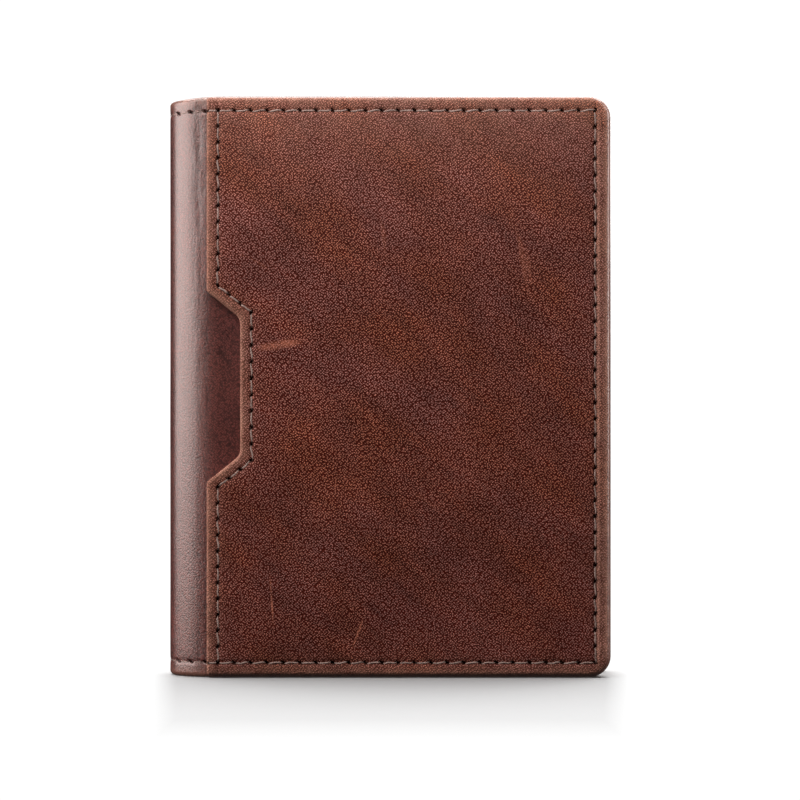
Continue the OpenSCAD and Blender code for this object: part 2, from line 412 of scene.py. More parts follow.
def inward(outline, corners, still):
    """The direction into a plate at each point of its outline. A still side keeps its place."""
    found = []
    for i, point in enumerate(outline):
        u = unit(outline[(i + 1) % len(outline)] - outline[i - 1])
        stays = any(on_side(point, corners, s) for s in still)
        found.append(np.array([0.0, 0.0]) if stays else np.array([-u[1], u[0]]))
    middle = (outline.min(axis=0)[1] + outline.max(axis=0)[1]) / 2
    for s in still:
        for c in (corners[s], corners[(s + 1) % len(corners)]):
            i = int(np.argmin(np.linalg.norm(outline - c, axis=1)))
            found[i] = np.array([0.0, math.copysign(1.0, middle - c[1])])
    return found


def plate(name, corners, radii, face_y, out, thick, material, edge_r=0.5, back_r=0.2, still=(),
          seams=(), pillow=None, slope=None, rim=None, bank=None, wave=0.03, creases=(), grid=0.9,
          seed=0.0, edge_wear_and_highlight_reach=1.2):
    """A flat piece of leather with rounded edges and a relief on its face at face_y.

    corners run anticlockwise in x and z as seen from the front. out is -1 for a face towards the
    front and 1 for one towards the back. still lists sides that carry on into another piece.
    pillow is the depth, run, low corner, high corner and radius of a soft fall to the edges, and slope the
    depth and run of a longer one to the top, along which the colour is also painted paler as a painted
    highlight. rim is the height, distance from the edge and width of a raised edge. bank is the x, rise and
    run of a step up to a margin that is painted paler, a painted highlight where the step faces the light.
    creases are pressed lines: start, end, depth and width. The last argument is how far in the edge's paler
    colour reaches, which is partly wear and partly painted highlight.
    """
    corners = [np.array(c, float) for c in corners]
    pressed = [np.array([a, b]) for a, b, _, _ in creases]
    outline, sparse, points = face_points(corners, radii, still, edge_r, grid, seams, pressed)
    count, top = len(outline), outline.max(axis=0)[1]
    flat, triangles, previous = triangulate(points, count, sparse)

    free_edges = [(a, b) for a, b in zip(sparse, np.roll(sparse, -1, axis=0))
                  if not any(on_side(a, corners, s) and on_side(b, corners, s) for s in still)]
    edge = distance_to(flat, [a for a, _ in free_edges], [b for _, b in free_edges])
    relief, hole = seam_relief(flat, seams)
    h = relief - edge_drop(edge, edge_r) - soft_fall(flat, pillow, slope, top)
    # paler towards the edges: partly wear, partly a painted highlight on the rounded edge
    wear_and_highlight = np.exp(-edge / edge_wear_and_highlight_reach)
    if rim:
        height, distance, width = rim
        h += height * np.exp(-((edge - distance) / width) ** 2)
    if bank:
        start, rise, run = bank
        climb = np.clip((flat[:, 0] - start) / run, 0, 1)
        h += rise * climb * climb * (3 - 2 * climb) * np.clip((edge - 0.6) / 1.2, 0, 1)
        # painted highlight: the margin beyond the bank is painted paler where the step faces the light
        wear_and_highlight = np.maximum(wear_and_highlight, 0.75 * np.exp(-((flat[:, 0] - start - run / 2) / (0.9 * run)) ** 2))
    if slope:
        # painted highlight: a band along the top is painted paler, where the light from above falls
        wear_and_highlight = np.maximum(wear_and_highlight, 0.45 * np.exp(-(top - flat[:, 1]) / (1.6 * slope[1])))
    h += wave * unevenness(flat, corners, still, seed)
    for (_, _, depth, width), line in zip(creases, pressed):
        h -= depth * np.exp(-(distance_to(flat, line[:1], line[1:]) / width) ** 2)

    verts = [(x, face_y + out * v, z) for (x, z), v in zip(flat, h)]
    faces = [tuple(t) if out < 0 else tuple(t[::-1]) for t in triangles]
    # the sides and the back, as rings that follow the outline
    directions = inward(outline, corners, still)
    steps = [(0, thick - back_r)] + [
        (back_r * (1 - math.cos(a)), thick - back_r + back_r * math.sin(a))
        for a in (math.radians(35), math.radians(65), math.radians(90))]
    for d, depth in steps:
        ring = list(range(len(verts), len(verts) + count))
        moved = [p + n * d for p, n in zip(outline, directions)]
        verts += [(x, face_y - out * depth, z) for x, z in moved]
        for a in range(count):
            b = (a + 1) % count
            quad = (previous[a], ring[a], ring[b], previous[b])
            faces.append(quad if out < 0 else quad[::-1])
        previous = ring
    faces.append(previous[::-1] if out < 0 else previous)

    more = len(verts) - len(flat)
    wear_and_highlight, hole = np.append(wear_and_highlight, np.ones(more)), np.append(hole, np.zeros(more))
    used = sorted({i for f in faces for i in f})
    renumber = {old: new for new, old in enumerate(used)}
    faces = [[renumber[i] for i in f] for f in faces]
    attributes = {"wear_and_highlight": wear_and_highlight[used], "hole": hole[used]}
    return make_object(name, [verts[i] for i in used], faces, material, attributes)


def thread(name, stitches, place, material, top=-0.06, radius=0.18):
    """The visible stretches of a seam's thread, which dip into the holes at both ends.

    place maps (across, z, h) to a point. top is the height of the thread's crown over the face.
    """
    rings, sides = 13, 10
    s = np.linspace(0, 1, rings)[:, None]
    phi = np.linspace(0, 2 * math.pi, sides, endpoint=False)[None, :]
    lift = 1 - np.abs(2 * s - 1) ** 5
    verts, faces = [], []
    for number, (a, b) in enumerate(stitches):
        u = unit(b - a)
        lateral = np.array([-u[1], u[0]])
        base = number * rings * sides
        r = radius * (0.45 + 0.55 * lift) * (1 + 0.12 * np.cos(2 * phi - 9 * s + number))
        height = -HOLE_DEPTH + (top - radius + HOLE_DEPTH) * lift + r * np.sin(phi)
        sway = 0.06 * np.sin(2 * math.pi * s + number) + r * np.cos(phi)
        centre = [a[k] + (b[k] - a[k]) * s + lateral[k] * sway for k in (0, 1)]
        verts.append(np.column_stack(place(centre[0].ravel(), centre[1].ravel(), height.ravel())))
        for k in range(rings - 1):
            for j in range(sides):
                p, q = base + k * sides + j, base + k * sides + (j + 1) % sides
                faces.append((p, q, q + sides, p + sides))
        faces.append([base + j for j in range(sides)][::-1])
        faces.append([base + (rings - 1) * sides + j for j in range(sides)])
    return make_object(name, np.concatenate(verts), faces, material, sharp=80)


def on_face(face_y, out):
    """Maps a point on a flat piece and its height to a place in the frame."""
    return lambda x, z, h: (x, face_y + out * h, z)


# -------- the curved spine

def spine_path(step):
    """The spine's outer face from the back cover's flat to the front's: lengths, and x and y."""
    a, b = SPINE_RUN, (BACK_Y - FRONT_Y) / 2
    arc = [(SPINE_LEFT + a - a * math.cos(t), MIDDLE_Y + b * math.sin(t))
           for t in np.linspace(math.pi / 2, -math.pi / 2, 721)]
    points = np.array([(COVER_START, BACK_Y)] + arc + [(COVER_START, FRONT_Y)])
    lengths = np.concatenate([[0], np.cumsum(np.linalg.norm(np.diff(points, axis=0), axis=1))])
    s = np.linspace(0, lengths[-1], math.ceil(lengths[-1] / step) + 1)
    return s, np.column_stack([np.interp(s, lengths, points[:, k]) for k in (0, 1)])


PATH_S, PATH = spine_path(0.02)
TANGENTS = np.gradient(PATH, axis=0)
TANGENTS /= np.linalg.norm(TANGENTS, axis=1)[:, None]
NORMALS = np.column_stack([TANGENTS[:, 1], -TANGENTS[:, 0]])  # out of the wallet


def on_spine(s, z, h):
    """Maps a length along the spine, a height and a relief to a place, lower near the top."""
    x, y = (np.interp(s, PATH_S, PATH[:, k]) + h * np.interp(s, PATH_S, NORMALS[:, k]) for k in (0, 1))
    droop = SPINE_DROOP * np.sin(np.pi * np.clip(s / PATH_S[-1], 0, 1)) ** 2
    return x, y, z - droop * np.clip((z - (HEIGHT - DROOP_RUN)) / DROOP_RUN, 0, 1) ** 2


def length_at(target):
    """The length along the spine nearest to a point in x and y."""
    return float(PATH_S[np.argmin(np.linalg.norm(PATH - target, axis=1))])


def strip_middle(p, q):
    """The length along the spine that faces the middle between two fold lines."""
    outward = unit(np.array([-(q - p)[1], (q - p)[0]])) * -3
    return length_at((p + q) / 2 + outward)


FOLDS = [fold(name) for name in ("fold_back", "fold_spine_back", "fold_spine_front", "fold_front")]
# each piece of the spine runs from the middle of one strip to the middle of the next
MIDS = [strip_middle(p, q) for p, q in zip(FOLDS, FOLDS[1:])]
CUTS = [0.0] + MIDS + [float(PATH_S[-1])]
# lengths at which the stiff parts of the two covers start
STIFF = [length_at(np.array([BLEND_X, BACK_Y])), length_at(np.array([BLEND_X, FRONT_Y]))]
SPINE_SEAMS = [Seam([(CUTS[0], z), (STIFF[1] - 0.3, z)]) for z in (SEAM_FOOT, SEAM_TOP)]
WRINKLED = [length_at(np.array([LEFT + 5.0, y])) for y in (BACK_Y, FRONT_Y)]


def spine_depth(s):
    """The thickness of the spine's leather, which thickens into the covers' turned edges."""
    near = min(s - CUTS[0], CUTS[-1] - s)
    t = min(max((near - 0.5) / 4.0, 0), 1)
    return COVER_T + (SPINE_T - COVER_T) * t * t * (3 - 2 * t)


def crumple(s, z):
    """How wrinkled the leather is: most beside the two covers' edges, and near the top."""
    found = [np.exp(-((s - at) / 1.6) ** 2) for at in WRINKLED]
    return np.maximum(*found) * (0.1 + 0.9 * np.exp(-((HEIGHT - z) / 28) ** 2))


def rows(foot, top, edge_r, fine=()):
    """Heights for a bent sheet's points: close together at its two edges and at its seams."""
    found = [edge_r * (1 - math.cos(math.radians(a))) for a in (0, 20, 38, 54, 68, 80, 90)]
    found += list(np.arange(edge_r + 0.25, top - foot - edge_r - 0.2, 1.5))
    found += [top - foot - d for d in found[:7]]
    found = [foot + d for d in found if not any(abs(foot + d - z) < 1.4 for z in fine)]
    for z in fine:
        found += list(z + np.linspace(-1.3, 1.3, 19))
    return sorted(found)


def bend(piece):
    """Bakes the transform of a piece of the spine into its mesh."""
    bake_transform(piece)


def bent_sheet(name, number, foot, top, outer, inner, material, edge_r, back_r, seams=(), wave=0.0):
    """One piece of the spine's leather or lining. outer and inner give its two faces' depths."""
    s0, s1 = CUTS[number], CUTS[number + 1]
    inner_s = np.linspace(s0 + 0.04, s1 - 0.04, math.ceil((s1 - s0) / 0.22) + 1)
    stations = np.concatenate([[s0], inner_s, [s1]])
    zs = np.array(rows(foot, top, edge_r, [seam.path[0][1] for seam in seams]))
    grid = np.array([(s, z) for s in stations for z in zs])
    # how far from the covers: their seams and waves turn into the spine's own within 3 mm
    ends = np.minimum(grid[:, 0] - CUTS[0], CUTS[-1] - grid[:, 0])
    relief, hole = seam_relief(grid, seams)
    valley = -relief - HOLE_DEPTH * hole
    relief += SPINE_EASE * valley * np.clip(ends / 3, 0, 1)
    edge = np.minimum(grid[:, 1] - foot, top - grid[:, 1])
    h = relief - edge_drop(edge, edge_r)
    if wave:
        crumples = 3.2 * waves(grid * [1.0, 0.25], 1.5, 8.0) * crumple(*grid.T)
        h += wave * (0.5 * waves(grid * [1.0, 0.6], 9, 3.0) + crumples) * np.clip(ends / 3 - 0.1, 0, 1)
    h = h.reshape(len(stations), len(zs))
    back_zs = np.array(rows(foot, top, back_r)[::-1])
    back_drop = edge_drop(np.minimum(back_zs - foot, top - back_zs), back_r)
    verts = []
    for s, row in zip(stations, h):
        for z, depth in ((zs, row - outer(s)), (back_zs, back_drop - inner(s))):
            verts.append(np.column_stack(on_spine(s, z, depth)))
    blank = np.zeros((len(stations), len(back_zs)))
    # paler towards the top and foot: partly wear, partly a painted highlight on the rounded edges
    wear_and_highlight = np.hstack([np.exp(-edge / 1.0).reshape(h.shape), blank + 0.6]).ravel()
    holes = np.hstack([hole.reshape(h.shape), blank]).ravel()
    bent = np.array([crumple(s, z) for s in stations for z in (*zs, *back_zs)])
    ring = len(zs) + len(back_zs)
    faces = []
    for k in range(len(stations) - 1):
        for j in range(ring):
            p, q = k * ring + j, k * ring + (j + 1) % ring
            faces.append((p, q, q + ring, p + ring))
    faces.append(list(range(ring))[::-1])
    faces.append([(len(stations) - 1) * ring + j for j in range(ring)])
    attributes = {"wear_and_highlight": wear_and_highlight, "hole": holes, "bent": bent}
    return make_object(name, np.concatenate(verts), faces, material, attributes)


# -------- materials

class Nodes:
    """Short calls that add shader nodes to a material."""

    def __init__(self, name):
        self.material = bpy.data.materials.new(name)
        self.material.use_nodes = True
        self.tree = self.material.node_tree
        self.tree.nodes.clear()

    def add(self, kind, sockets=None, **settings):
        """A shader node. A socket's value is another node's socket or a constant."""
        node = self.tree.nodes.new("ShaderNode" + kind)
        for key, value in settings.items():
            setattr(node, key, value)
        for key, value in (sockets or {}).items():
            self.feed(node.inputs[key], value)
        return node

    def feed(self, socket, value):
        if isinstance(value, bpy.types.NodeSocket):
            self.tree.links.new(value, socket)
        else:
            socket.default_value = value

    def millimetres(self):
        """Object coordinates in millimetres."""
        coords = self.add("TexCoord").outputs["Object"]
        return self.add("VectorMath", {0: coords, "Scale": 1000.0}, operation="SCALE").outputs[0]

    def turned(self, vector, rotation=(0, 0, 0), scale=(1, 1, 1)):
        """Coordinates turned, and then scaled along their new axes."""
        found = self.add("Mapping", {"Vector": vector, "Rotation": rotation}).outputs[0]
        return self.add("VectorMath", {0: found, 1: scale}, operation="MULTIPLY").outputs[0]

    def spot(self, vector, place, size, angle):
        """A soft oval mark in x and z: 1 at its middle and 0 at its rim."""
        middle = (place[0], 0, place[1])
        moved = self.add("VectorMath", {0: vector, 1: middle}, operation="SUBTRACT").outputs[0]
        laid = self.turned(moved, (0, angle, 0), (1 / size[0], 0, 1 / size[1]))
        reach = self.add("VectorMath", {0: laid}, operation="LENGTH").outputs["Value"]
        return self.range(reach, 0.0, 1.0, 1.0, 0.0)

    def noise(self, vector, scale, detail=2.0, roughness=0.5):
        return self.add("TexNoise", {
            "Vector": vector, "Scale": scale, "Detail": detail, "Roughness": roughness}).outputs["Fac"]

    def math(self, operation, a, b=0.0):
        return self.add("Math", {0: a, 1: b}, operation=operation).outputs[0]

    def range(self, value, low, high, new_low=0.0, new_high=1.0):
        return self.add("MapRange", {
            "Value": value, "From Min": low, "From Max": high,
            "To Min": new_low, "To Max": new_high}).outputs[0]

    def mix(self, factor, a, b, blend="MIX"):
        node = self.add("Mix", data_type="RGBA", blend_type=blend)
        for index, value in ((0, factor), (6, a), (7, b)):
            self.feed(node.inputs[index], value)
        return node.outputs[2]

    def attribute(self, name):
        return self.add("Attribute", attribute_name=name).outputs["Fac"]

    def bump(self, height, strength, distance):
        return self.add("Bump", {"Height": height, "Strength": strength, "Distance": distance}).outputs[0]

    def finish(self, **sockets):
        """The material, with a Principled shader whose sockets are named with underscores."""
        names = {key.replace("_", " "): value for key, value in sockets.items()}
        shader = self.add("BsdfPrincipled", names)
        self.add("OutputMaterial", {"Surface": shader.outputs[0]})
        return self.material


def rgb(r, g, b):
    """A colour for a shader socket, in linear light."""
    return (r, g, b, 1.0)


def leather(name, dark, light, warm, wear_and_highlight, grain=0.4, relief=0.1, contrast=1.0, roughness=0.36, coat=0.0,
            shine=0.1, painted_glint_at_foot=1.0, mottling=0.2, flat=False, scuffs=()):
    """Waxed full-grain leather: pebbled grain, slow patches of colour, scuffs and paler edges.

    The colour follows the grain: dark in its valleys, which is painted shade, and light, or warm in some
    patches, on its pebbles, which is painted glints. contrast is how much of the colour follows the grain,
    and the foot share how much of these painted glints and shade is left at the foot, as the light comes
    from above. mottling is how far the slow patches darken and lighten it. flat leather lies in x and z,
    where its pebbles are laid out. scuffs are rubbed places: where each is in x and z, its half length and
    half width, and its turn.
    """
    n = Nodes(name)
    mm = n.millimetres()
    half = (0.5, 0.5, 0.5)
    wander = n.add("TexNoise", {"Vector": mm, "Scale": 0.9, "Detail": 2.0}).outputs["Color"]
    centred = n.add("VectorMath", {0: wander, 1: half}, operation="SUBTRACT").outputs[0]
    moved = n.add("VectorMath", {0: centred, 1: half, 2: mm}, operation="MULTIPLY_ADD").outputs[0]
    laid = n.turned(moved, (math.radians(90), 0, 0))
    slanted = n.turned(laid, (0, 0, math.radians(-45)), (0.88 / grain, 1.08 / grain, 1 / grain))
    near, far = (0.05, 0.5) if flat else (0.25, 0.85)
    cells = n.add(
        "TexVoronoi", {"Vector": slanted, "Scale": 1.0, "Randomness": 0.62}, feature="F1",
        voronoi_dimensions="2D" if flat else "3D")
    own = n.add("SeparateColor", {0: cells.outputs["Color"]}).outputs[0]
    pebble = n.range(cells.outputs["Distance"], far, near)
    fine = n.noise(mm, 5.5, 3.0, 0.6)
    streaks = n.noise(n.turned(mm, (0, math.radians(-42), 0), (0.25, 1.0, 1.1)), 0.5, 4.0, 0.6)
    patches = n.noise(mm, 0.063, 6.0, 0.62)
    firm = n.range(n.noise(mm, 0.12, 3.0), 0.35, 0.7, 0.75, 1.0)
    height = n.math("MULTIPLY", n.math("ADD", pebble, n.math("MULTIPLY", fine, 0.4)), firm)
    height = n.math("ADD", height, n.math("MULTIPLY", own, 0.15))
    height = n.math("ADD", height, n.math("MULTIPLY", streaks, 0.4))
    bent = n.attribute("bent")
    wrinkles = n.noise(n.turned(moved, scale=(1.0, 1.0, 0.36)), 1.9, 4.0, 0.7)
    height = n.math("ADD", height, n.math("MULTIPLY", n.math("MULTIPLY", wrinkles, bent), 13.0))
    normal = n.bump(height, 1.0, relief * MM)

    tone = n.math("ADD", n.math("MULTIPLY", patches, 1.1), n.math("MULTIPLY", streaks, 0.9))
    slow = n.range(tone, 0.7, 1.3)
    z = n.add("SeparateXYZ", {0: mm}).outputs["Z"]
    # painted glints on the pebbles' tops and painted shade in their valleys, weaker towards the foot as the
    # light comes from above
    painted_glint = n.math("MULTIPLY", n.math("POWER", pebble, 2.1), n.range(z, 0.0, HEIGHT, painted_glint_at_foot, 1.0))
    level = n.add("Mix", {0: contrast, 2: slow, 3: painted_glint}).outputs[0]
    drifts = n.noise(n.turned(mm, (0, math.radians(-35), 0), (0.5, 1.0, 1.0)), 0.11, 4.0)
    base = n.mix(level, dark, n.mix(n.range(drifts, 0.4, 0.65), light, warm))
    shade = n.range(slow, 0.0, 1.0, 1 - mottling, 1 + mottling)
    base = n.mix(1.0, base, n.add("CombineColor", {0: shade, 1: shade, 2: shade}).outputs[0], "MULTIPLY")
    # painted shade: where the leather is bent, the wrinkles' valleys are darkened towards the dark colour
    base = n.mix(n.math("MULTIPLY", bent, n.range(wrinkles, 0.44, 0.54, 0.9, 0.0)), base, dark)
    # the paler colour at the edges, along the top and on the bank: partly wear, partly painted highlight
    edge = n.attribute("wear_and_highlight")
    rubbed_and_lit = n.math("MULTIPLY", edge, n.range(n.noise(mm, 0.5, 4.0, 0.65), 0.3, 0.62, 0.35, 1.0))
    base = n.mix(n.math("MULTIPLY", rubbed_and_lit, 0.7), base, wear_and_highlight)
    lines = n.noise(n.turned(mm, (0, math.radians(8), 0), (0.35, 0.35, 0.035)), 1.0, 2.0, 0.4)
    rubs = n.noise(n.turned(mm, (0, math.radians(-30), 0), (0.06, 0.3, 0.5)), 1.0, 3.0, 0.55)
    found = n.math("MAXIMUM", n.range(lines, 0.735, 0.775, 0.0, 0.35), n.range(rubs, 0.70, 0.79, 0.0, 0.4))
    for place, size, angle in scuffs:
        mark = n.math("MULTIPLY", n.spot(mm, place, size, angle), n.range(streaks, 0.3, 0.6, 0.5, 2.4))
        found = n.math("MAXIMUM", found, mark)
    base = n.mix(n.math("MULTIPLY", n.math("MINIMUM", found, 1.2), 0.3), base, warm)
    # painted shade: the awl holes are darkened almost to black
    base = n.mix(n.attribute("hole"), base, rgb(0.008, 0.005, 0.004))
    slow_gloss = n.range(patches, 0.3, 0.7, roughness, roughness + 0.08)
    gloss = n.math("ADD", n.range(fine, 0.3, 0.7, -0.06, 0.06), slow_gloss)
    return n.finish(
        Base_Color=base, Roughness=gloss, Specular_IOR_Level=shine, Specular_Tint=rgb(1.0, 0.78, 0.73),
        Normal=normal, Coat_Weight=coat, Coat_Roughness=0.25, Coat_IOR=1.55)


def thread_material():
    """Waxed two-ply thread, slightly soiled."""
    n = Nodes("waxed_thread")
    mm = n.millimetres()
    fibres = n.noise(n.turned(mm, (0.5, 0.6, 0), (1.0, 1.0, 5.0)), 3.0, 4.0, 0.7)
    soil = n.noise(mm, 0.25, 3.0)
    base = n.mix(n.range(fibres, 0.3, 0.7), rgb(0.17, 0.103, 0.086), rgb(0.38, 0.265, 0.23))
    base = n.mix(n.range(soil, 0.4, 0.7, 0.0, 0.5), base, rgb(0.10, 0.055, 0.042))
    gloss = n.range(fibres, 0.2, 0.8, 0.42, 0.62)
    return n.finish(Base_Color=base, Roughness=gloss, Normal=n.bump(fibres, 0.7, 0.06 * MM))


def twill(name, dark, light):
    """Fine diagonal twill of matt yarn."""
    n = Nodes(name)
    mm = n.millimetres()
    diagonal = n.turned(mm, (0, math.radians(45), 0))
    ribs = n.add("TexWave", {
        "Vector": diagonal, "Scale": 0.85, "Distortion": 0.4, "Detail": 1.0}).outputs["Fac"]
    yarn = n.add("TexWave", {
        "Vector": mm, "Scale": 1.1, "Distortion": 0.3}, bands_direction="Z").outputs["Fac"]
    fuzz = n.noise(mm, 8.0, 3.0, 0.7)
    height = n.math("ADD", n.math("MULTIPLY", ribs, yarn), n.math("MULTIPLY", fuzz, 0.4))
    tone = n.range(n.math("ADD", height, n.math("MULTIPLY", n.noise(mm, 0.1, 4.0), 0.5)), 0.2, 1.4)
    return n.finish(
        Base_Color=n.mix(tone, dark, light), Roughness=0.85, Sheen_Weight=0.25, Sheen_Roughness=0.4,
        Normal=n.bump(height, 0.8, 0.07 * MM))


def fibre_board():
    """Pressed grey-brown board with short fibres."""
    n = Nodes("fibre_board")
    mm = n.millimetres()
    fibres = n.noise(n.turned(mm, (0.2, 0.5, 0.1), (0.6, 1.0, 3.0)), 1.4, 5.0, 0.7)
    base = n.mix(n.range(fibres, 0.3, 0.7), rgb(0.20, 0.15, 0.10), rgb(0.34, 0.27, 0.19))
    return n.finish(Base_Color=base, Roughness=0.8, Normal=n.bump(fibres, 0.5, 0.03 * MM))


def foil():
    """Thin laminated foil with rolling marks."""
    n = Nodes("shielding_foil")
    mm = n.millimetres()
    rolled = n.noise(n.turned(mm, scale=(3.0, 3.0, 0.05)), 2.0, 4.0, 0.6)
    base = n.mix(rolled, rgb(0.60, 0.61, 0.62), rgb(0.80, 0.81, 0.82))
    return n.finish(
        Base_Color=base, Metallic=1.0, Roughness=n.range(rolled, 0.3, 0.7, 0.22, 0.42),
        Normal=n.bump(rolled, 0.3, 0.01 * MM))


PANEL_LEATHER = leather(
    "pebbled_leather", rgb(0.050, 0.006, 0.003), rgb(0.57, 0.24, 0.205), rgb(0.65, 0.22, 0.13),
    rgb(0.44, 0.225, 0.16), grain=0.39, painted_glint_at_foot=0.72, mottling=0.34, flat=True, scuffs=(
        ((-20.3, 60.0), (4.6, 1.0), math.radians(8)), ((-21.5, 14.0), (0.25, 5.0), math.radians(4)),
        ((-6.0, 8.0), (0.3, 3.0), math.radians(-20))))
SPINE_LEATHER = leather(
    "smooth_leather", rgb(0.018, 0.0025, 0.0022), rgb(0.150, 0.036, 0.030), rgb(0.155, 0.036, 0.026),
    rgb(0.34, 0.17, 0.12), grain=0.34, relief=0.03, contrast=0.9, roughness=0.28, coat=0.5, shine=1.0)
INNER_LEATHER = leather(
    "inner_leather", rgb(0.10, 0.028, 0.016), rgb(0.28, 0.095, 0.055), rgb(0.30, 0.09, 0.042),
    rgb(0.42, 0.19, 0.11), grain=0.4, relief=0.06, contrast=0.85, roughness=0.42, shine=0.25, flat=True)
THREAD = thread_material()
LINING = twill("lining_twill", rgb(0.018, 0.012, 0.010), rgb(0.060, 0.042, 0.034))


# -------- pieces of the covers

def piece_of(piece, body, slot, *nodes):
    """A piece rides on its body and stands for CAD nodes, which it hides. The slot argument is not used."""
    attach(piece, body)
    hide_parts(*nodes)


def leaf_corners(x0, x1, z0, z1):
    """A rectangle's corners, anticlockwise in x and z. Side 3 is the one at x0."""
    return [(x0, z0), (x1, z0), (x1, z1), (x0, z1)]


def cover_skin(side, face_y, out, seams):
    """The leather of one cover. The front one has a raised rim beside the pocket skin."""
    edge_r, rim = (0.8, None) if side == "back" else (0.6, (0.45, 0.8, 0.5))
    piece = plate(
        side + "_cover_skin", leaf_corners(COVER_START, RIGHT, 0, HEIGHT), [0, CORNER_R, CORNER_R, 0],
        face_y, out, COVER_T, SPINE_LEATHER, edge_r=edge_r, back_r=0.5, still=(3,), seams=seams,
        pillow=(0.2, 2.0, (-FAR, 0), (RIGHT, HEIGHT), CORNER_R), rim=rim, seed=4.0 * out, edge_wear_and_highlight_reach=0.9)
    piece_of(piece, side, "cover_leather", side + "_cover_leather")


def open_seam(x):
    """A seam round a leaf's three free sides, from its top at x to its foot at x."""
    return Seam([(x, SEAM_TOP), (SEAM_RIGHT, SEAM_TOP), (SEAM_RIGHT, SEAM_FOOT), (x, SEAM_FOOT)])


def back_cover():
    """The back cover's leather and its seam."""
    seam = open_seam(COVER_START)
    cover_skin("back", BACK_Y, 1, [seam])
    piece = thread("back_cover_thread", seam.stitches(), on_face(BACK_Y, 1), THREAD)
    piece_of(piece, "back", "thread", "back_cover_stitching")


def mouth_path(margin, foot, top):
    """The pocket's mouth with its thumb notch, from its top down, moved in by margin."""
    turn = math.atan2(NOTCH_DEPTH, (NOTCH_MOUTH - NOTCH_FLOOR) / 2)
    shift = margin * math.tan(turn / 2)
    x, middle = PANEL_LOW[0] + margin, HEIGHT / 2
    wide, narrow = NOTCH_MOUTH / 2 + shift, NOTCH_FLOOR / 2 + shift
    return [
        (x, top), (x, middle + wide), (x + NOTCH_DEPTH, middle + narrow),
        (x + NOTCH_DEPTH, middle - narrow), (x, middle - wide), (x, foot)]


def front_cover():
    """The front cover's leather, the pocket skin on it and their two seams."""
    cover_skin("front", FRONT_Y, -1, [])
    x0, face_y, z0 = PANEL_LOW
    x1, z1 = PANEL_HIGH[0] + SKIN_OVERHANG, PANEL_HIGH[2]
    corners = [(x0, z0), (x1, z0), (x1, z1)] + mouth_path(0, z0, z1)[:-1]
    radii = [0.5, SKIN_CORNER_R, SKIN_CORNER_R, 0.5, 0.7, 2.2, 2.2, 0.7]
    mouth_x = x0 + MOUTH_MARGIN
    round_seam = Seam([
        (x0 + 0.15, SEAM_TOP), (mouth_x, SEAM_TOP), (SEAM_RIGHT, SEAM_TOP),
        (SEAM_RIGHT, SEAM_FOOT), (mouth_x, SEAM_FOOT), (x0 + 0.15, SEAM_FOOT)])
    mouth_seam = Seam(mouth_path(MOUTH_MARGIN, SEAM_FOOT, SEAM_TOP))
    pillow, slope = (0.25, 1.3, (-FAR, z0), (x1, z1), SKIN_CORNER_R), (0.45, 5.0)
    creases = [((mouth_x, a), (mouth_x, b), 0.2, 0.25) for a, b in ((SEAM_TOP, z1), (SEAM_FOOT, z0))]

    def on_panel(x, z, h):
        """Maps a point and its height to a place on the sunk face, so that the thread follows it."""
        return x, face_y - h + soft_fall(np.column_stack([x, z]), pillow, slope, z1), z

    panel = plate(
        "front_pocket_skin", corners, radii, face_y, -1, PANEL_T, PANEL_LEATHER, edge_r=0.55, back_r=0.2,
        seams=[round_seam, mouth_seam], pillow=pillow, slope=slope, bank=(SEAM_RIGHT + 0.3, 0.25, 0.5),
        wave=0.06, creases=creases, seed=7.0, edge_wear_and_highlight_reach=1.0)
    piece_of(panel, "front", "panel_leather", "front_pocket_panel")
    for kind, seam in (("cover", round_seam), ("pocket", mouth_seam)):
        piece = thread(f"front_{kind}_thread", seam.stitches(), on_panel, THREAD)
        piece_of(piece, "front", "thread", f"front_{kind}_stitching")


def shown(stitches, floor_z):
    """The stitches whose middles lie above a height."""
    return [(a, b) for a, b in stitches if (a + b)[1] / 2 > floor_z]


